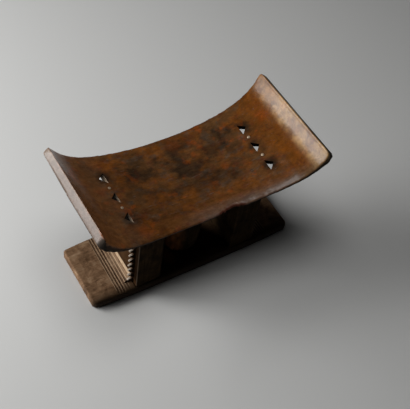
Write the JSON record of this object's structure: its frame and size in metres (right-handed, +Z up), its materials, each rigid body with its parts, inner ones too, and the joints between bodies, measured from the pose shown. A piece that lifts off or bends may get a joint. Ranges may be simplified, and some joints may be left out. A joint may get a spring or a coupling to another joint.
{
  "type": "carved wooden stool",
  "caption": "Carved wooden stool: a dished rectangular seat pierced with triangles, on two serrated end panels and a centre column over a flat base.",
  "frame": {"origin": "centre of the base's underside, on the floor", "axes": "+X along the seat's length, +Y to the back, +Z up"},
  "size_m": [0.5294, 0.262, 0.3132],
  "materials": {
    "seat_wood": "dark polished patina",
    "base_wood": "matt, dusty and worn",
    "support_wood": "dark, tool-marked",
    "tack_brass": "dull, worn"
  },
  "bodies": {
    "root": {"seat": "seat_wood", "base": "base_wood", "end_panel_left": "support_wood", "end_panel_right": "support_wood", "centre_column": "support_wood", "seat_tack_1": "tack_brass", "seat_tack_2": "tack_brass", "seat_tack_3": "tack_brass", "seat_tack_4": "tack_brass"}
  },
  "joints": []
}
